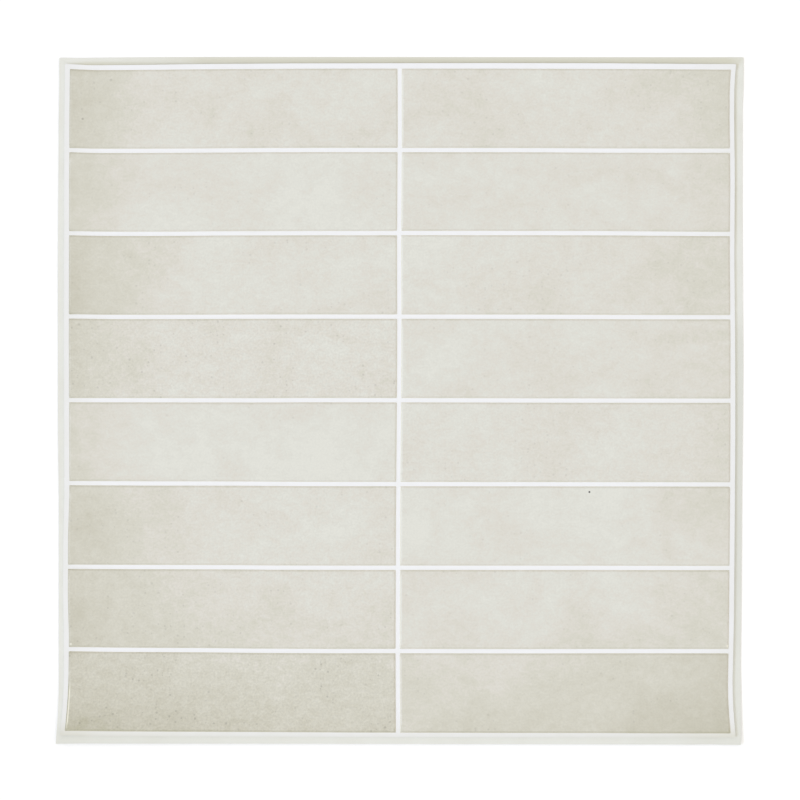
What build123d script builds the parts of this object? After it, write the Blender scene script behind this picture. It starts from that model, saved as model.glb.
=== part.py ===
from build123d import *
import os

# A peel and stick backsplash sheet, ten inches square as laid, lying face up on its release liner.
# Millimetres. +Z is the face that shows on the wall and +Y is up the wall. The origin is under the
# middle of the liner.

# Layout of the tiles: a stacked bond, so the joints run straight through both ways
columns = ["left", "right"]
rows = 8
tile_length = 124.9
tile_width = 30.15
joint = 1.6  # bare white film between two tiles, which reads as the grout line

# Tile: a thin cast pad with a flat face, a rim that slopes down to the film in one arc, and crisp corners
tile_height = 0.6
rim_width = 0.9
corner_radius = 0.3

# Film: white vinyl under all the tiles, with the adhesive on its back
film_thickness = 0.9
film_border = 1.6  # bare edge outside the outermost tiles
film_corner_radius = 0.5

# Release liner: siliconed paper that stands out past the film all round
liner_thickness = 0.15
liner_overhang = 2.9

# The film was laid down a little to the left of the liner's middle, and a little above it
film_offset_x = -0.45
film_offset_y = 0.2

pitch_x = tile_length + joint
pitch_y = tile_width + joint
film_length = len(columns) * pitch_x - joint + 2 * film_border
film_width = rows * pitch_y - joint + 2 * film_border
liner_length = film_length + 2 * liner_overhang
liner_width = film_width + 2 * liner_overhang
tile_base = liner_thickness + film_thickness


def release_liner():
    # cut square, with no tab and no slit
    return extrude(Rectangle(liner_length, liner_width), liner_thickness)


def vinyl_film():
    outline = RectangleRounded(film_length, film_width, film_corner_radius)
    return Pos(film_offset_x, film_offset_y, liner_thickness) * extrude(outline, film_thickness)


def tile_pad():
    # the arc of the rim is tangent to the flat face and reaches the film one rim width further out
    rim_radius = (rim_width**2 + tile_height**2) / (2 * tile_height)
    spread = 2 * (rim_radius - rim_width)
    block_height = 2 * rim_radius
    block = extrude(Rectangle(tile_length + spread, tile_width + spread), block_height)
    # the rims meet in a mitre at each corner, and the mitre is then eased
    block = fillet(block.faces().sort_by(Axis.Z)[-1].edges(), rim_radius)
    block = fillet(block.edges().filter_by(Axis.Z), corner_radius)
    # only the top of the block is the pad
    base = block_height - tile_height
    return Pos(0, 0, -base) * split(block, Plane.XY.offset(base), keep=Keep.TOP)


def tile_places():
    # row 1 is the top one as the sheet hangs on the wall
    for row in range(rows):
        y = film_offset_y + ((rows - 1) / 2 - row) * pitch_y
        for column, side in enumerate(columns):
            x = film_offset_x + (column - (len(columns) - 1) / 2) * pitch_x
            yield f"tile_row_{row + 1}_{side}", Pos(x, y, tile_base)


def build():
    pieces = {"release_liner": release_liner(), "vinyl_film": vinyl_film()}
    pad = tile_pad()
    for name, place in tile_places():
        pieces[name] = place * pad
    return pieces


os.makedirs("parts", exist_ok=True)
for name, piece in build().items():
    export_step(piece, f"parts/{name}.step")
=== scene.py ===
import math

import bmesh
import bpy
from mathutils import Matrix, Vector


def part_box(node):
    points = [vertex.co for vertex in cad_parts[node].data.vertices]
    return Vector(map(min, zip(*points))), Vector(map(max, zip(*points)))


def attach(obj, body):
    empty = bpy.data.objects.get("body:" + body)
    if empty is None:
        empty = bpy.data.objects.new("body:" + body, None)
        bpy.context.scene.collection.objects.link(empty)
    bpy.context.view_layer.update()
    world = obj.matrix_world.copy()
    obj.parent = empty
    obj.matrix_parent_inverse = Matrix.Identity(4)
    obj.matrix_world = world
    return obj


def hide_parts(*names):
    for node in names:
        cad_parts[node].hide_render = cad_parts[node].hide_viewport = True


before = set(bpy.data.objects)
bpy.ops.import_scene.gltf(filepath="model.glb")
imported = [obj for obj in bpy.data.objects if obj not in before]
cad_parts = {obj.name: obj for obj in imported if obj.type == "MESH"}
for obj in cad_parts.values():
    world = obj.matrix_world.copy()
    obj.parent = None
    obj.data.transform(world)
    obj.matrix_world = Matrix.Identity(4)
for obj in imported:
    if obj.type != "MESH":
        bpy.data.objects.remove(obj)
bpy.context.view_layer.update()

mm = 0.001  # the scene is in metres, and sizes below are in millimetres
linerBox = [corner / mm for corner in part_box("release_liner")]
filmBox = [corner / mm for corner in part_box("vinyl_film")]
print("frame loaded:", len(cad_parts), "nodes")


def linear(hexColour):
    # an sRGB hex value as the linear colour that the shader wants
    channels = [int(hexColour[i : i + 2], 16) / 255 for i in (1, 3, 5)]
    return [c / 12.92 if c <= 0.04045 else ((c + 0.055) / 1.055) ** 2.4 for c in channels] + [1.0]


def newMaterial(name):
    material = bpy.data.materials.new(name)
    material.use_nodes = True
    material.node_tree.nodes.clear()
    return material


def addNode(material, kind, settings=None, **links):
    # one node: settings set its properties and sockets, and links join its sockets to outputs. Sockets go by
    # name, or by number where a name stands twice: a Map Range maps 1 and 2 to 3 and 4, and a colour Mix has
    # its colours in 6 and 7 and its result in output 2.
    node = material.node_tree.nodes.new(kind)
    for key, value in (settings or {}).items():
        if isinstance(key, int) or key in node.inputs:
            node.inputs[key].default_value = value
        else:
            setattr(node, key, value)
    for key, source in links.items():
        socket = node.inputs[int(key[1:])] if key[1:].isdigit() else node.inputs[key.replace("_", " ")]
        material.node_tree.links.new(source, socket)
    return node


def finishSurface(material, piece, colour, relief):
    # the fine relief sets the sheen and the bump. The default IOR of 1.5 suits vinyl and coated paper.
    (low, high), (smooth, rough) = piece["relief"], piece["roughness"]
    sheen = addNode(material, "ShaderNodeMapRange", {1: low, 2: high, 3: smooth, 4: rough}, i0=relief)
    bump = addNode(material, "ShaderNodeBump", {"Strength": piece["bump"],
                   "Distance": piece["bumpDepth"] * mm}, Height=relief)
    shader = addNode(material, "ShaderNodeBsdfPrincipled", None, Base_Color=colour,
                     Roughness=sheen.outputs[0], Normal=bump.outputs[0])
    addNode(material, "ShaderNodeOutputMaterial", None, Surface=shader.outputs[0])
    return material


# The stage: a white table in a soft, slightly warm room, with cooler daylight from the left
stage = {
    "floorColour": "#f4f4f4",
    "floorSize": 3.0,  # in metres
    "floorDrop": 0.1,  # below the liner
    "floorGlow": 0.16,
    "white": "#ffffff",  # of the floor's glow, and of what is past the floor
    "roomColour": (1.036, 1.006, 0.944),  # light, so linear
    "roomOverhead": 1.087,  # brightness straight up, and at the horizon
    "roomHorizon": 0.334,
    "daylightStrength": 0.75,
    "daylightColour": (0.80, 0.955, 1.28),
    "daylightSpread": 20,  # these three in degrees
    "daylightElevation": 40,
    "daylightTurn": 197,
}

view = {
    "photoWidth": 800,
    "millimetresPerPixel": 0.3798,  # from the pitch of the rows
    "lookAt": (-0.13, 0.40, 1.2),
    "height": 1100,
    "roll": 0.06,  # in degrees
    "sensor": 36.0,
    "nearest": 10,
}


def seenDirectly(owner):
    # 1 for what the camera sees straight, in gloss or through glass, and 0 for the light on the sheet
    rays = addNode(owner, "ShaderNodeLightPath").outputs
    some = addNode(owner, "ShaderNodeMath", {"operation": "MAXIMUM"}, i0=rays["Is Camera Ray"],
                   i1=rays["Is Glossy Ray"])
    return addNode(owner, "ShaderNodeMath", {"operation": "MAXIMUM"}, i0=some.outputs[0],
                   i1=rays["Is Transmission Ray"]).outputs[0]


def makeStage():
    bpy.ops.mesh.primitive_plane_add(size=stage["floorSize"], location=(0, 0, -stage["floorDrop"] * mm))
    floor = bpy.context.object
    floor.name = "table"
    material = newMaterial("white table")
    base = addNode(material, "ShaderNodeBsdfDiffuse", {"Color": linear(stage["floorColour"])})
    # a little glow where the table is seen directly, so that it is white there and a shadow still shows
    strength = addNode(material, "ShaderNodeMath", {"operation": "MULTIPLY", 1: stage["floorGlow"]},
                       i0=seenDirectly(material))
    glow = addNode(material, "ShaderNodeEmission", {"Color": linear(stage["white"])},
                   Strength=strength.outputs[0])
    both = addNode(material, "ShaderNodeAddShader", None, i0=base.outputs[0], i1=glow.outputs[0])
    addNode(material, "ShaderNodeOutputMaterial", None, Surface=both.outputs[0])
    floor.data.materials.append(material)

    world = bpy.data.worlds.new("soft white room")
    bpy.context.scene.world = world
    world.use_nodes = True
    world.node_tree.nodes.clear()
    direction = addNode(world, "ShaderNodeTexCoord").outputs["Generated"]
    height = addNode(world, "ShaderNodeSeparateXYZ", None, i0=direction).outputs["Z"]
    brightness = addNode(world, "ShaderNodeMapRange", {1: 0, 2: 1, 3: stage["roomHorizon"],
                         4: stage["roomOverhead"]}, i0=height)
    room = addNode(world, "ShaderNodeBackground", {"Color": (*stage["roomColour"], 1)},
                   Strength=brightness.outputs[0])
    # past the table's edge the camera sees white
    beyond = addNode(world, "ShaderNodeBackground", {"Color": linear(stage["white"]), "Strength": 1})
    background = addNode(world, "ShaderNodeMixShader", None, i0=seenDirectly(world), i1=room.outputs[0],
                         i2=beyond.outputs[0])
    addNode(world, "ShaderNodeOutputWorld", None, Surface=background.outputs[0])

    light = bpy.data.lights.new("daylight", "SUN")
    light.energy = stage["daylightStrength"]
    light.color = stage["daylightColour"]
    light.angle = math.radians(stage["daylightSpread"])
    daylight = bpy.data.objects.new("daylight", light)
    bpy.context.scene.collection.objects.link(daylight)
    elevation, turn = math.radians(stage["daylightElevation"]), math.radians(stage["daylightTurn"])
    flat = math.cos(elevation)
    towards = Vector((flat * math.cos(turn), flat * math.sin(turn), math.sin(elevation)))
    daylight.rotation_euler = towards.to_track_quat("Z", "Y").to_euler()
    print("stage ready")


def makeCamera():
    data = bpy.data.cameras.new("straight down")
    camera = bpy.data.objects.new("straight down", data)
    bpy.context.scene.collection.objects.link(camera)
    x, y, z = view["lookAt"]
    camera.location = Vector((x, y, z + view["height"])) * mm
    camera.rotation_euler = (0, 0, math.radians(view["roll"]))
    data.sensor_width = view["sensor"]
    data.lens = view["sensor"] * view["height"] / (view["photoWidth"] * view["millimetresPerPixel"])
    data.clip_start = view["nearest"] * mm
    bpy.context.scene.camera = camera
    bpy.context.scene.view_settings.view_transform = "Standard"
    print("camera ready")


# How the sheet lies: nothing holds it down, so its edges stand a little off the table. All in mm.
lie = {
    "bottomHeights": (1.4, 0.8, 0.8),  # at the left end, the middle and the right end of the bottom edge
    "bottomReach": 28,
    "leftHeight": 0.4,
    "leftReach": 26,
    "rightHeight": 0.1,
    "rightReach": 30,
    "topGap": 0.4,  # the film's top edge has let go of the liner
    "topReach": 95,
    "topGapOpens": (-128, -84),  # from shut to full, left to right
    "topGapCloses": (98, 138),
    "cornerGap": 0.3,  # and so has its bottom left corner
    "cornerReach": 20,
}
# The limp sheet has also crept a little in its own plane: its rows sag, its sides waver and its corners
# flare. Each list gives (place along the line, how far that place has moved sideways), with x to the right
# and y up.
middleCreep = [(-122, -0.35), (-100, -0.5), (-45, -0.42), (-12, -0.17), (20, 0), (40, -0.05), (60, -0.13),
               (80, -0.02), (100, 0.1), (125, 0)]
creep = {
    "grows": {"top": (40, 126), "bottom": (-40, -96)},  # where those of the top and bottom start and are full
    "tile": {
        "left": [(-128, -1.27), (-124, -0.82), (-120, -0.5), (-115, -0.14), (-109, 0.18), (-90, 0.37),
                 (-75, -0.06), (-52, -0.01), (-36, 0.46), (-8, 0.34), (20, 0.21), (85, 0.24), (108, 0.32),
                 (124, 0.49)],
        "middle": middleCreep,
        "right": [(-128, 0.42), (-124, 0.12), (-118, -0.4), (-112, -0.68), (-106, -0.76), (-98, -0.55),
                  (-85, -0.38), (-38, -0.03), (-10, 0.1), (25, 0.07), (55, -0.23), (85, -0.08), (108, -0.36),
                  (118, -0.34), (124, -0.03), (128, 0.37)],
        "top": [(-127, -0.4), (-122, -0.59), (-116, -0.82), (-95, -0.7), (-68, -0.43), (-28, -0.19),
                (40, -0.13), (90, -0.23), (125, -0.41)],
        "bottom": [(-125, 0.7), (-110, 0.5), (-68, 0.32), (-15, 0.1), (40, 0), (75, 0), (95, -0.1),
                   (125, -0.1)],
        # the joints between the rows waver a little more: the height of each, and how far up it has moved
        "joints": [
            (-126, [(0, 0)]),
            (-95, [(-74, 0), (-56, -0.11), (-26, -0.11), (-10, 0), (50, 0.05), (76, 0.13), (90, 0.23),
                   (100, 0.27)]),
            (-63, [(-62, -0.03), (-50, -0.12), (-14, -0.08), (3, -0.03), (28, 0), (121, 0.05)]),
            (-32, [(-123, 0.25), (-98, 0.15), (-60, 0.14), (-38, 0)]),
            (0, [(-50, 0), (-38, 0.1), (27, 0.1), (52, 0.05), (121, 0.07)]),
            (32, [(-123, 0.05), (-110, -0.12), (-86, -0.09), (-62, 0.04), (-38, 0.1), (3, 0.12), (52, 0.12),
                  (76, 0.05), (95, 0)]),
            (64, [(-123, 0.02), (-105, -0.08), (-86, -0.07), (-68, 0.03), (-14, 0.1), (3, 0.16), (76, 0.19),
                  (100, 0.07), (112, 0)]),
            (95, [(-123, 0), (-104, -0.05), (-74, -0.08), (-50, 0), (52, -0.03), (76, -0.12), (100, -0.08),
                  (121, 0.04)]),
            (126, [(0, 0)]),
        ],
    },
    "film": {
        "left": [(-128, -1.33), (-124, -0.88), (-120, -0.56), (-115, -0.2), (-109, 0.12), (-90, 0.15),
                 (-75, -0.18), (-52, -0.13), (-36, 0.24), (-8, 0.12), (20, -0.01), (85, 0.02), (108, 0.1),
                 (124, 0.27)],
        "middle": middleCreep,
        "right": [(-128, 0.6), (-124, 0.3), (-118, -0.22), (-112, -0.5), (-106, -0.58), (-98, -0.37),
                  (-85, -0.1), (-38, 0.25), (-10, 0.38), (25, 0.25), (55, -0.05), (85, 0.1), (108, -0.18),
                  (118, -0.16), (124, 0.15), (128, 0.55)],
        "top": [(-128, 0), (-124, -0.24), (-118, -0.58), (-95, -0.4), (-82, -0.17), (-42, 0.18), (0, 0.3),
                (38, 0.4), (78, 0.36), (106, 0.17), (127, 0.14)],
        "bottom": [(-125, 0.6), (-110, 0.4), (-68, 0.25), (-15, 0.1), (40, 0), (95, 0), (125, 0)],
    },
    "liner": {
        "left": [(-130, -0.5), (-123, 0.05), (-118, 0.3), (-110, 0.52), (-38, 0.45), (-11, 0.1), (55, -0.04),
                 (80, 0.15), (108, 0.27), (120, 0.45)],
        "middle": [(0, 0)],
        "right": [(-130, -0.7), (-120, -0.6), (-110, -0.6), (-100, -0.76), (-78, -0.53), (-38, -0.34),
                  (-11, -0.08), (15, 0.11), (42, -0.15), (68, -0.3), (112, -0.3), (120, 0.08)],
        "top": [(-130, -0.42), (-124, -0.55), (-112, -0.27), (-95, -0.08), (-55, 0.03), (130, 0.1)],
        "bottom": [(-130, 0.45), (-120, 0.6), (-110, 0.5), (-40, 0.5), (20, 0.42), (110, 0.32), (118, 0.42),
                   (130, 0.2)],
    },
}


def ramp(value, start, end):
    return min(1.0, max(0.0, (value - start) / (end - start)))


def between(points, place):
    # the value at a place, straight from one given point to the next
    for (start, first), (end, second) in zip(points, points[1:]):
        if place < end:
            return first + (second - first) * ramp(place, start, end)
    return points[-1][1]


def outward(x, middle, ends):
    # a value that goes from one in the middle of the film to another at its two sides
    low, high = filmBox
    share = ((x - low.x) / (high.x - low.x) * 2 - 1) ** 2
    return middle * (1 - share) + ends * share


def crept(kind, x, y):
    # where the creep takes a place of the flat sheet
    lines = creep[kind]
    left, middle, right = (between(lines[side], y) for side in ("left", "middle", "right"))
    across = ramp(x, filmBox[0].x, filmBox[1].x) * 2 - 1
    shiftX = middle + (right - middle) * max(0, across) + (left - middle) * max(0, -across)
    shiftY = sum(between(lines[edge], x) * ramp(y, *reach) for edge, reach in creep["grows"].items())
    if "joints" in lines:
        shiftY += between([(height, between(points, x)) for height, points in lines["joints"]], y)
    return x + shiftX, y + shiftY


def linerLift(x, y):
    # both layers curl up together along the bottom edge and, less, along the two sides
    low, high = linerBox
    across = ramp(x, low.x, high.x)
    left, middle, right = lie["bottomHeights"]
    bottom = (left * (1 - across) + right * across
              + (4 * middle - 2 * left - 2 * right) * across * (1 - across))
    return (bottom * ramp(y, low.y + lie["bottomReach"], low.y) ** 2
            + lie["leftHeight"] * ramp(x, low.x + lie["leftReach"], low.x) ** 2
            + lie["rightHeight"] * ramp(x, high.x - lie["rightReach"], high.x) ** 2)


def filmLift(x, y):
    # the film, and the tiles on it, stand off the liner where it has let go
    low, high = filmBox
    along = ramp(x, *lie["topGapOpens"]) * (1 - ramp(x, *lie["topGapCloses"]))
    top = lie["topGap"] * along * along * (3 - 2 * along) * ramp(y, high.y - lie["topReach"], high.y) ** 2
    corner = lie["cornerGap"] * ramp((x - low.x) + (y - low.y), lie["cornerReach"], 0) ** 2
    return linerLift(x, y) + top + corner


slab = {
    "cornerAngles": [math.pi / 8, math.pi / 4, 3 * math.pi / 8],  # a round corner's points between its ends
    "weld": 0.001,  # points nearer than this are one
    "sharpAngle": 40,  # in degrees
}


def layer(name, node, kind, profile, cornerRadius, spacing, lift, paint):
    # a closed slab with the node's plan: loops of points at each (inset, height) of the profile, which runs
    # from the middle of the underside round the edge to the middle of the face, with a grid inside the first
    # and the last. paint names the values that the material reads at a point, from its place off the node's
    # middle and its inset.
    low, high = (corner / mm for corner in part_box(node))
    middle = (low + high) / 2
    halfX, halfY = (high.x - low.x) / 2, (high.y - low.y) / 2
    stepsX, stepsY = round(2 * halfX / spacing), round(2 * halfY / spacing)
    mesh = bmesh.new()
    kinds = mesh.verts.layers
    painted = {key: (kinds.float_vector if isinstance(value, tuple) else kinds.float).new(key)
               for key, value in paint(0, 0, middle, 0).items()}

    def point(x, y, z):
        flatX, flatY = middle.x + x, middle.y + y
        vertex = mesh.verts.new(Vector((*crept(kind, flatX, flatY), low.z + z + lift(flatX, flatY))) * mm)
        for key, value in paint(x, y, middle, min(halfX - abs(x), halfY - abs(y))).items():
            vertex[painted[key]] = value
        return vertex

    def loop(inset, height):
        radius = max(0.0, cornerRadius - inset)
        farX, farY = halfX - inset - radius, halfY - inset - radius
        alongX = [(2 * i / stepsX - 1) * farX for i in range(stepsX + 1)]
        alongY = [(2 * j / stepsY - 1) * farY for j in range(stepsY + 1)]
        places = []
        sides = ([(x, -farY) for x in alongX], [(farX, y) for y in alongY],
                 [(-x, farY) for x in alongX], [(-farX, -y) for y in alongY])
        for quarter, side in enumerate(sides):
            turn = (quarter - 1) * math.pi / 2
            places += [(x + radius * math.cos(turn), y + radius * math.sin(turn)) for x, y in side]
            x, y = side[-1]
            places += [(x + radius * math.cos(turn + angle), y + radius * math.sin(turn + angle))
                       for angle in slab["cornerAngles"]]
        return [point(x, y, height) for x, y in places]

    def grid(inset, height, faceUp):
        farX, farY = halfX - inset, halfY - inset
        rows = [[point((2 * i / stepsX - 1) * farX, (2 * j / stepsY - 1) * farY, height)
                 for i in range(stepsX + 1)] for j in range(stepsY + 1)]
        for lower, upper in zip(rows, rows[1:]):
            for i in range(stepsX):
                corners = [lower[i], lower[i + 1], upper[i + 1], upper[i]]
                mesh.faces.new(corners if faceUp else corners[::-1])

    loops = [loop(inset, height) for inset, height in profile]
    for inner, outer in zip(loops, loops[1:]):
        for k in range(len(inner)):
            mesh.faces.new((inner[k], inner[k - 1], outer[k - 1], outer[k]))
    grid(*profile[0], False)
    grid(*profile[-1], True)
    bmesh.ops.remove_doubles(mesh, verts=mesh.verts, dist=slab["weld"] * mm)
    bmesh.ops.recalc_face_normals(mesh, faces=mesh.faces)
    data = bpy.data.meshes.new(name)
    mesh.to_mesh(data)
    mesh.free()
    data.polygons.foreach_set("use_smooth", [True] * len(data.polygons))
    data.set_sharp_from_angle(angle=math.radians(slab["sharpAngle"]))
    piece = bpy.data.objects.new(name, data)
    bpy.context.scene.collection.objects.link(piece)
    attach(piece, "root")
    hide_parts(node)
    return piece


liner = {
    "thickness": 0.15,
    "spacing": 3.0,
    "rings": 8,  # round its margin, for the tones there
    "ringSpacing": 0.5,
    "paper": "#e8e9e3",
    "paperDark": "#e2e2da",
    # each pattern's width in mm, noise detail and roughness: the clouds are where the fibres lie thicker, and
    # real fibres are too fine to show, so they are drawn about ten times as wide
    "patterns": {"clouds": (14, 3, 0.6), "fibres": (0.5, 3, 0.6)},
    "fibreShare": 0.35,  # how much the fibres count beside the clouds
    "darkens": (0.45, 0.95),  # the sum of both at which the paper starts to darken and is darkest
    "relief": (0.3, 0.7),  # of the fibres, and the roughness at each end of that
    "roughness": (0.38, 0.5),
    "bump": 0.15,
    "bumpDepth": 0.02,
    # painted shadow: its margin is dimmer and yellower along the top, beside the film's lifted top edge, and
    # beside the film at the top right
    "paintedShadow": "#d5d3c3",
    "paintedShadowTop": [(-118, 0), (-110, 0.15), (-84, 0.4), (-76, 0.85), (-20, 1), (60, 1), (85, 1), (124, 1.1),
                  (129, 0.6)],
    "paintedShadowAcross": [(-1, 0), (0, 0.4), (0.6, 1), (1.6, 1), (2.6, 0.6)],  # out from the film's edge
    "paintedShadowNear": [(-127, 0), (-122, 0.9), (-108, 0.8), (-84, 0.5), (-76, 0)],  # only beside the film
    "paintedShadowUpperRight": [(58, 0), (66, 0.5), (112, 0.5), (122, 0.2)],
    "nearFades": (1.6, 0.6),  # from none to full, out from the film's edge
    # painted shadow makes it dimmer along the lower right side, beside the film's edge, and it is also darker
    # at the ends of the bottom
    "paintedShadeAndDimming": "#dadbd3",
    "paintedShadowLowerRight": [(-130, 0.35), (-98, 0.4), (-90, 0.6), (-62, 0.95), (-30, 1), (0, 1), (22, 0.8), (34, 0.1),
                 (50, 0)],
    "paintedShadowLowerRightStarts": (0.2, 0.8),
    "paintedShadowLowerRightFades": (0.3, 3.3),  # by how much, and over how far out
    "dimBottom": [(-130, 0.3), (-85, 0.25), (-60, 0), (80, 0), (95, 0.25), (130, 0.3)],
    "underFilm": (-1, 0),  # a tone that touches the film starts this far under it
}


def linerMaterial():
    # glassine paper with a silicone coat: off-white, faintly cloudy from its fibres, with a low sheen
    material = newMaterial("silicone-coated glassine paper")
    place = addNode(material, "ShaderNodeTexCoord").outputs["Object"]
    patterns = {pattern: addNode(material, "ShaderNodeTexNoise", {"Scale": 1 / (width * mm), "Detail": detail,
                                 "Roughness": rough}, Vector=place).outputs["Fac"]
                for pattern, (width, detail, rough) in liner["patterns"].items()}
    both = addNode(material, "ShaderNodeMath", {"operation": "MULTIPLY_ADD", 1: liner["fibreShare"]},
                   i0=patterns["fibres"], i2=patterns["clouds"])
    start, end = liner["darkens"]
    amount = addNode(material, "ShaderNodeMapRange", {1: start, 2: end}, i0=both.outputs[0])
    colour = addNode(material, "ShaderNodeMix", {"data_type": "RGBA", 6: linear(liner["paper"]),
                     7: linear(liner["paperDark"])}, i0=amount.outputs[0])
    # the painted shadow beside the film, and the darkening at the bottom ends, take the paper towards their
    # colours
    for tone in ("paintedShadow", "paintedShadeAndDimming"):
        amount = addNode(material, "ShaderNodeAttribute", {"attribute_name": tone})
        colour = addNode(material, "ShaderNodeMix", {"data_type": "RGBA", 7: linear(liner[tone])},
                         i0=amount.outputs["Fac"], i6=colour.outputs[2])
    return finishSurface(material, liner, colour.outputs[2], patterns["fibres"])


def paintLiner(x, y, middle, inset):
    x, y = x + middle.x, y + middle.y
    pastTop, pastRight, pastBottom = y - filmBox[1].y, x - filmBox[1].x, filmBox[0].y - y
    starts, fades = liner["underFilm"], liner["nearFades"]
    # painted shadow beside the film's top edge and beside its upper right side
    paintedShadow = max(between(liner["paintedShadowTop"], x) * between(liner["paintedShadowAcross"], pastTop),
                   between(liner["paintedShadowNear"], x) * ramp(pastTop, *starts) * ramp(pastTop, *fades),
                   between(liner["paintedShadowUpperRight"], y) * ramp(pastRight, *starts) * ramp(pastRight, *fades))
    # painted shadow along the lower right side, and a darkening at the ends of the bottom
    faded, far = liner["paintedShadowLowerRightFades"]
    paintedShadeAndDimming = max(between(liner["paintedShadowLowerRight"], y) * ramp(pastRight, *liner["paintedShadowLowerRightStarts"])
                 * (1 - faded * ramp(pastRight, 0, far) ** 2),
                 between(liner["dimBottom"], x) * ramp(pastBottom, *starts))
    return {"paintedShadow": paintedShadow, "paintedShadeAndDimming": paintedShadeAndDimming}


def makeLiner():
    rings = [(step * liner["ringSpacing"], liner["thickness"]) for step in range(liner["rings"])]
    profile = [(rings[-1][0], 0), (0, 0), *rings]
    piece = layer("release_liner_lying", "release_liner", "liner", profile, 0, liner["spacing"], linerLift,
                  paintLiner)
    piece.data.materials.append(linerMaterial())
    print("liner ready")


film = {
    "thickness": 0.9,
    "spacing": 2.5,
    "cornerRadius": 0.5,
    "inset": 1.2,  # how far in the flat face's grid starts
    "vinyl": "#f2f3f6",
    "vinylUnevenAndShaded": "#e0dfd6",
    # each pattern's width in mm, noise detail and roughness: the roller's real grain is too fine to show, so
    # it is drawn a few times as wide
    "patterns": {"clouds": (9, 4, 0.6), "grain": (0.4, 2, 0.5)},
    "uneven": (-0.04, 0.09),  # how much duller the clouds make it, from the palest to the dullest
    "unevenClouds": (0.35, 0.7),  # and the noise's values there
    # painted shade: how much darker the bare film is at each edge, where the curled sheet turns from the
    # light, from 0 to 1, and how far in that reaches, in mm
    "paintedShadeLeft": (0.3, 20),
    "paintedShadeRight": (0.24, 50),
    "paintedShadeBottom": (0.5, 0.9, 8),  # in the middle, at the ends, and the reach
    "relief": (0.3, 0.7),  # of the grain, and the roughness at each end of that
    "roughness": (0.42, 0.52),
    "bump": 0.12,
    "bumpDepth": 0.02,
}


def filmMaterial():
    # calendered soft vinyl: clean cool white, with the faint orange peel of the roller, satin
    material = newMaterial("calendered white vinyl")
    place = addNode(material, "ShaderNodeTexCoord").outputs["Object"]
    paintedEdgeShade = addNode(material, "ShaderNodeAttribute", {"attribute_name": "paintedEdgeShade"})
    patterns = {pattern: addNode(material, "ShaderNodeTexNoise", {"Scale": 1 / (width * mm), "Detail": detail,
                                 "Roughness": rough}, Vector=place).outputs["Fac"]
                for pattern, (width, detail, rough) in film["patterns"].items()}
    (start, end), (least, most) = film["unevenClouds"], film["uneven"]
    uneven = addNode(material, "ShaderNodeMapRange", {1: start, 2: end, 3: least, 4: most, "clamp": False},
                     i0=patterns["clouds"])
    # the painted edge shade and the random clouds both take the white towards the duller colour
    amount = addNode(material, "ShaderNodeMath", {"operation": "ADD", "use_clamp": True},
                     i0=paintedEdgeShade.outputs["Fac"], i1=uneven.outputs[0])
    colour = addNode(material, "ShaderNodeMix", {"data_type": "RGBA", 6: linear(film["vinyl"]),
                     7: linear(film["vinylUnevenAndShaded"])}, i0=amount.outputs[0])
    return finishSurface(material, film, colour.outputs[2], patterns["grain"])


def paintFilm(x, y, middle, inset):
    # painted shade towards the film's left, right and bottom edges
    low, high = filmBox
    x, y = x + middle.x, y + middle.y
    midway, ends, reach = film["paintedShadeBottom"]
    edges = ((x - low.x, *film["paintedShadeLeft"]), (high.x - x, *film["paintedShadeRight"]),
             (y - low.y, outward(x, midway, ends), reach))
    return {"paintedEdgeShade": sum(most * ramp(away, reach, 0) ** 2 for away, most, reach in edges)}


def makeFilm():
    edge = film["inset"], film["thickness"]
    profile = [(edge[0], 0), (0, 0), (0, edge[1]), edge]
    piece = layer("vinyl_film_lying", "vinyl_film", "film", profile, film["cornerRadius"], film["spacing"],
                  filmLift, paintFilm)
    piece.data.materials.append(filmMaterial())
    print("film ready")
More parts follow.
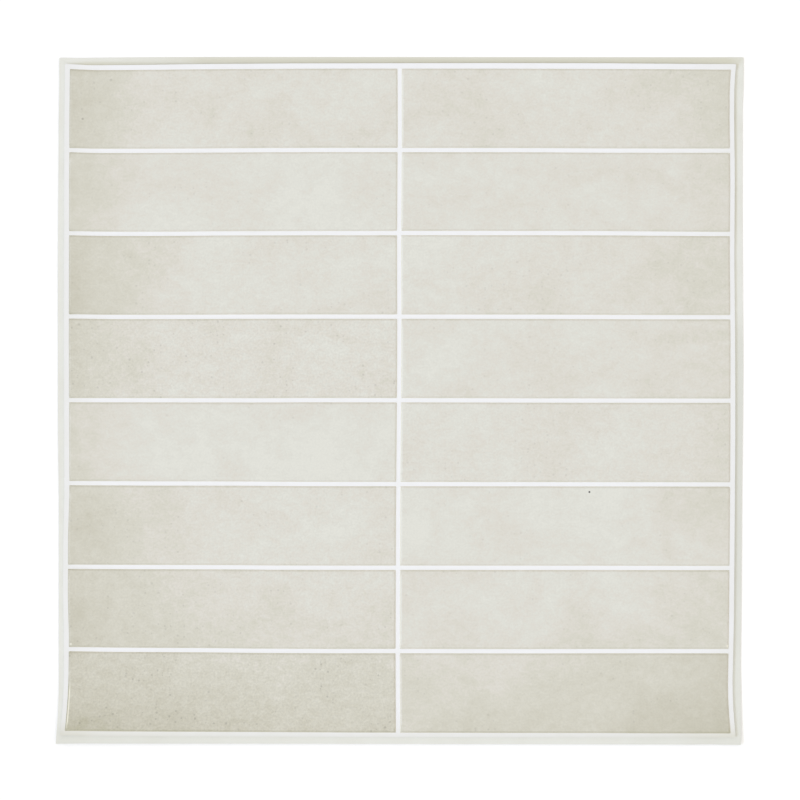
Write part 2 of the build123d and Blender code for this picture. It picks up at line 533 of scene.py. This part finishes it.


# Shade is how deep the tiles' print looks, painted shade included. It is counted in sRGB steps of green down
# from the palest.
tile = {
    "height": 0.6,
    "rimWidth": 0.9,
    "cornerRadius": 0.3,
    "spacing": 3.0,
    "rimSteps": 6,
    "flatInset": 1.1,  # how far in the flat face's grid starts
    # the print's colours by shade: it is a pale sage grey where it is palest, beige soon after that, and
    # browner as it gets deeper
    "print": {0: "#e2e2da", 3: "#dfdfd7", 8: "#dddad1", 10: "#dbd8ce", 13: "#d7d5c9", 25: "#ccc9ba",
              33: "#c4c1b0", 42: "#bab7a1"},
    "rimCreamAndHighlight": "#efecdc",  # the cream cast body, which shows at the foot of the rim, also colours the painted highlights on the rims
    # each pattern's width in mm, noise detail and roughness, and the most shade that it adds or takes. The
    # stone picture's own grain is finer, and this is as coarse as it needs to be to show.
    "patterns": {"clouds": (26, 2, 0.85, 9), "mottle": (3.0, 2, 1.0, 7.5), "grain": (0.8, 1, 0.6, 4.6)},
    "patternStretch": 1.4,  # the clouds and the mottle lie along the tile
    "distortion": 0.3,
    "evenMottle": 0.65,  # the part of the mottle that every tile has, and the rest goes with its grain
    "speckSpacing": 2.4,
    "speckReach": 0.24,  # the biggest speck's radius, as a part of the spacing
    "speckSharpness": 9,
    "speckShade": 8,
    "speckClouds": (-0.6, 1.2),  # the shade of the clouds where specks start to show and are darkest
    "noSpecks": (0.88, 0.3),  # how many places have none: the first, less the second times the grain
    "fineStep": 0.0105,  # how much of the light one step of grain or speck takes away
    "printStart": (137, 83),  # where the first tile's middle is on the endless stone picture
    "printByRow": (137, 29),  # and how far on it is for each row and column
    "printByColumn": (61, 83),
    "relief": (-1, 1),  # of the grain, and the roughness at each end of that
    "roughness": (0.46, 0.58),
    "bump": 0.1,
    "bumpDepth": 0.02,
    # how each tile is printed, row by row, left and right: its shade in the middle, how strong its grain and
    # specks are, and how much and how far its outer end is darker than the edges' shade below says, partly
    # print and partly painted shade
    "looks": [
        ((7.2, 1.1, 1.25, 0.85), (7.2, 1.0, 0.95, 0.9)),
        ((3.6, 0.8, 1.25, 0.95), (5.6, 0.8, 0.9, 1.0)),
        ((5.4, 1.1, 1.7, 1.1), (4.8, 1.0, 1.4, 1.6)),
        ((6.6, 1.7, 0.9, 1.0), (5.6, 0.9, 0.9, 1.0)),
        ((3.4, 0.8, 1.0, 1.0), (5.3, 1.1, 0.9, 1.0)),
        ((5.6, 1.2, 1.2, 1.5), (3.6, 0.8, 1.3, 1.0)),
        ((6.4, 1.4, 1.25, 1.5), (3.6, 0.9, 1.2, 1.3)),
        ((8.9, 2.4, 1.0, 1.0), (4.9, 1.1, 2.8, 0.9)),
    ],
    # painted shade: the outer tiles are darker towards the sheet's edges, where the curled sheet turns from
    # the
    # light: shade at the edge, reach in mm, and the power that it grows by
    "edgeShade": {"left": (12.5, 52, 2), "right": (6, 55, 1.5)},
    "bottomShade": (13, 24, 85),  # painted shade along the curled bottom edge: shade in the middle and at the ends of the edge, and reach
    # and darker at the left corners, the bottom one as painted shade: how much, how far along and across the
    # tile, and what part of that is fading
    "cornerShade": {"bottom": (3.5, 42, 11, 0.6), "top": (5, 15, 4, 0.6)},
    # painted light and shade on the rims: the end rims are painted lighter, and the long ones and the sheet's
    # outer ones darker. That is full as far in as fullShade says, in rim widths.
    "rimShade": {"left": -6, "right": -3, "top": 5, "bottom": 4},
    "fullShade": 0.6,
    "outerRimShade": {"left": 12, "bottom": 8},
    "outerFullShade": 0.2,
    "outerWithin": 3,  # a rim is an outer one this near to the film's edge
    # how far in the cream cast body shows, in rim widths, and how much; on the left-facing rims it is wider
    # and stronger, as a painted highlight where the daylight falls
    "creamRimAndHighlight": {"outer": (0.15, 0.4), "left": (0.55, 0.85), "other": (0.3, 0.7)},
    # a painted highlight runs down the bottom of the outer left rim, from the first height down and fully
    # from the second, with a painted shadow line outside it
    "paintedHighlightFrom": (-107, -111),
    "paintedHighlightAcross": [(0.36, 0), (0.5, 1), (0.8, 1), (0.95, 0)],
    "paintedShadowLine": 36,
    "paintedShadowLineFades": (0.5, 0.36),
    # small marks (place, radius and colour): dark specks in rows 6 and 1, and painted highlights at two
    # corners of row 7
    "specksAndHighlights": [((71.82, -34.44), 0.34, "#1f1e1b"), ((-120.7, 107.0), 0.4, "#b4b1a4"),
              ((-109.95, 121.75), 0.45, "#c4c2b6"), ((-124.98, -92.35), 0.42, "#e6e4d7"),
              ((124.4, -92.9), 0.45, "#f3f0e2")],
    "markFades": (0.6, 1.4),  # from full to none, in radii
}


def tileMaterial():
    # printed soft vinyl, matt: a pale beige-grey stone picture, cloudy, with a fine dark grain and small dark
    # pits
    material = newMaterial("printed matt vinyl, stone look")
    place = addNode(material, "ShaderNodeAttribute", {"attribute_name": "printPlace"}).outputs["Vector"]
    shade = addNode(material, "ShaderNodeAttribute", {"attribute_name": "shade"})
    creamAndHighlight = addNode(material, "ShaderNodeAttribute", {"attribute_name": "creamAndHighlight"})
    grainy = addNode(material, "ShaderNodeSeparateXYZ", None, i0=place).outputs["Z"]
    along = addNode(material, "ShaderNodeVectorMath", {"operation": "MULTIPLY",
                    1: (1 / tile["patternStretch"], 1, 1)}, i0=place).outputs[0]
    patterns = {}  # each as shade, about zero
    for pattern, (width, detail, rough, most) in tile["patterns"].items():
        noise = addNode(material, "ShaderNodeTexNoise", {"noise_dimensions": "2D", "Scale": 1 / (width * mm),
                        "Detail": detail, "Roughness": rough, "Distortion": tile["distortion"]},
                        Vector=place if pattern == "grain" else along)
        patterns[pattern] = addNode(material, "ShaderNodeMapRange", {1: 0, 2: 1, 3: -most, 4: most,
                                    "clamp": False}, i0=noise.outputs["Fac"]).outputs[0]
    coarse = addNode(material, "ShaderNodeMath", {"operation": "MULTIPLY_ADD", 1: 1 - tile["evenMottle"],
                     2: tile["evenMottle"]}, i0=grainy)
    mottle = addNode(material, "ShaderNodeMath", {"operation": "MULTIPLY"}, i0=patterns["mottle"],
                     i1=coarse.outputs[0])
    clouded = addNode(material, "ShaderNodeMath", {"operation": "ADD"}, i0=shade.outputs["Fac"],
                      i1=patterns["clouds"])
    tone = addNode(material, "ShaderNodeMath", {"operation": "ADD"}, i0=clouded.outputs[0],
                   i1=mottle.outputs[0])
    deepest = max(tile["print"])
    amount = addNode(material, "ShaderNodeMapRange", {1: 0, 2: deepest, 3: 0, 4: 1}, i0=tone.outputs[0])
    colours = addNode(material, "ShaderNodeValToRGB", None, Fac=amount.outputs[0])
    stops = colours.color_ramp.elements
    while len(stops) < len(tile["print"]):
        stops.new(0.5)
    for stop, (at, colour) in zip(stops, tile["print"].items()):
        stop.position = at / deepest
        stop.color = linear(colour)

    # a cell of the specks' pattern holds one round pit or none, and it shows where the clouds are dark
    cells = addNode(material, "ShaderNodeTexVoronoi", {"voronoi_dimensions": "2D",
                    "Scale": 1 / (tile["speckSpacing"] * mm)}, Vector=place)
    chance = addNode(material, "ShaderNodeSeparateXYZ", None, i0=cells.outputs["Color"])
    share, fewer = tile["noSpecks"]
    empty = addNode(material, "ShaderNodeMath", {"operation": "MULTIPLY_ADD", 1: -fewer, 2: share}, i0=grainy)
    radius = addNode(material, "ShaderNodeMapRange", {2: 1, 3: 0, 4: tile["speckReach"]},
                     i0=chance.outputs["X"], i1=empty.outputs[0])
    inside = addNode(material, "ShaderNodeMath", {"operation": "SUBTRACT"}, i0=radius.outputs[0],
                     i1=cells.outputs["Distance"])
    specks = addNode(material, "ShaderNodeMath", {"operation": "MULTIPLY", 1: tile["speckSharpness"],
                     "use_clamp": True}, i0=inside.outputs[0])
    start, end = tile["speckClouds"]
    depth = addNode(material, "ShaderNodeMapRange", {1: start, 2: end, 3: 0, 4: tile["speckShade"]},
                    i0=patterns["clouds"])
    pits = addNode(material, "ShaderNodeMath", {"operation": "MULTIPLY"}, i0=specks.outputs[0],
                   i1=depth.outputs[0])
    # the grain and the pits only darken the print's colour: they don't brown it
    fine = addNode(material, "ShaderNodeMath", {"operation": "ADD"}, i0=patterns["grain"], i1=pits.outputs[0])
    strong = addNode(material, "ShaderNodeMath", {"operation": "MULTIPLY"}, i0=fine.outputs[0], i1=grainy)
    light = addNode(material, "ShaderNodeMath", {"operation": "MULTIPLY_ADD", 1: -tile["fineStep"], 2: 1.0},
                    i0=strong.outputs[0])
    inked = addNode(material, "ShaderNodeVectorMath", {"operation": "SCALE"}, i0=colours.outputs["Color"],
                    Scale=light.outputs[0])

    # the cream cast body at the rims' feet, and the painted highlights on the rims
    colour = addNode(material, "ShaderNodeMix", {"data_type": "RGBA", 7: linear(tile["rimCreamAndHighlight"])},
                     i0=creamAndHighlight.outputs["Fac"], i6=inked.outputs[0])
    onSheet = addNode(material, "ShaderNodeVectorMath", {"operation": "MULTIPLY", 1: (1, 1, 0)},
                      i0=addNode(material, "ShaderNodeTexCoord").outputs["Object"])
    # the dark specks, and two painted highlights
    for (x, y), radius, markColour in tile["specksAndHighlights"]:
        away = addNode(material, "ShaderNodeVectorMath", {"operation": "DISTANCE", 1: (x * mm, y * mm, 0)},
                       i0=onSheet.outputs[0])
        start, end = (part * radius * mm for part in tile["markFades"])
        cover = addNode(material, "ShaderNodeMapRange", {1: start, 2: end, 3: 1, 4: 0},
                        i0=away.outputs["Value"])
        colour = addNode(material, "ShaderNodeMix", {"data_type": "RGBA", 7: linear(markColour)},
                         i0=cover.outputs[0], i6=colour.outputs[2])
    return finishSurface(material, tile, colour.outputs[2], patterns["grain"])


def sheetShade(x, y, looks):
    # the print's own depth at a place on the sheet, with painted shade towards its edges and corners, leaving
    # out the rims
    low, high = filmBox
    middleShade, _, stress, reach = looks
    away = {"left": x - low.x, "right": high.x - x, "bottom": y - low.y, "top": high.y - y}
    sides = sum(most * ramp(away[side], far * reach, 0) ** power
                for side, (most, far, power) in tile["edgeShade"].items())
    midway, ends, far = tile["bottomShade"]
    bottom = outward(x, midway, ends) * ramp(away["bottom"], far, 0) ** 2
    corners = sum(most * ramp(away["left"], along, along * (1 - fading))
                  * ramp(away[corner], across, across * (1 - fading))
                  for corner, (most, along, across, fading) in tile["cornerShade"].items())
    return middleShade + math.hypot(sides * stress, bottom) + corners


def makeTiles():
    material = tileMaterial()
    # the rim is one arc, tangent to the face and as wide as the CAD's
    width, height = tile["rimWidth"], tile["height"]
    radius = (width**2 + height**2) / (2 * height)
    spread = math.asin(width / radius)
    profile = [(tile["flatInset"], 0)]
    for step in range(tile["rimSteps"], -1, -1):
        angle = spread * step / tile["rimSteps"]
        profile.append((width - radius * math.sin(angle), height - radius * (1 - math.cos(angle))))
    profile.append((tile["flatInset"], height))
    for row, pair in enumerate(tile["looks"]):
        for column, side in enumerate(("left", "right")):
            name = f"tile_row_{row + 1}_{side}"
            looks = pair[column]
            halfX, halfY, _ = (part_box(name)[1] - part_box(name)[0]) / 2 / mm
            shift = (Vector(tile["printStart"]) + row * Vector(tile["printByRow"])
                     + column * Vector(tile["printByColumn"]))

            def paint(x, y, middle, inset):
                sheetX, sheetY = x + middle.x, y + middle.y
                onEnd = halfX - abs(x) < halfY - abs(y)
                rim = ("left" if x < 0 else "right") if onEnd else ("bottom" if y < 0 else "top")
                outerLeft = sheetX - filmBox[0].x < tile["outerWithin"]
                onRim = ramp(inset, width, tile["fullShade"] * width)
                # painted light and shade on the rims, over the print and the painted edge shade
                shade = sheetShade(sheetX, sheetY, looks) + tile["rimShade"][rim] * onRim
                # painted shade at the foot of the outer left rim
                if outerLeft:
                    onOuter = ramp(inset, width, tile["outerFullShade"] * width)
                    shade += tile["outerRimShade"]["left"] * onOuter
                # painted shade on the outer bottom rims
                if sheetY - filmBox[0].y < tile["outerWithin"]:
                    shade += tile["outerRimShade"]["bottom"] * onRim
                # the cream cast body at the rims' feet, wider on left-facing rims as a painted highlight
                paleRimReach, paleRimAmount = tile["creamRimAndHighlight"]["outer" if outerLeft else
                                                        "left" if rim == "left" else "other"]
                creamAndHighlight = paleRimAmount * ramp(inset, paleRimReach * width, 0)
                # painted highlight down the bottom of the outer left rim, with a painted shadow line outside
                # it
                if outerLeft and onEnd:
                    cornerHighlight = ramp(sheetY, *tile["paintedHighlightFrom"])
                    creamAndHighlight = creamAndHighlight * (1 - cornerHighlight) + cornerHighlight * between(tile["paintedHighlightAcross"], inset)
                    shade += cornerHighlight * tile["paintedShadowLine"] * ramp(inset, *tile["paintedShadowLineFades"])
                return {"shade": shade, "creamAndHighlight": creamAndHighlight,
                        "printPlace": ((x + shift.x) * mm, (y + shift.y) * mm, looks[1])}

            piece = layer(name + "_lying", name, "tile", profile, tile["cornerRadius"], tile["spacing"],
                          filmLift, paint)
            piece.data.materials.append(material)
    print("tiles ready")


makeStage()
makeCamera()
makeLiner()
makeFilm()
makeTiles()
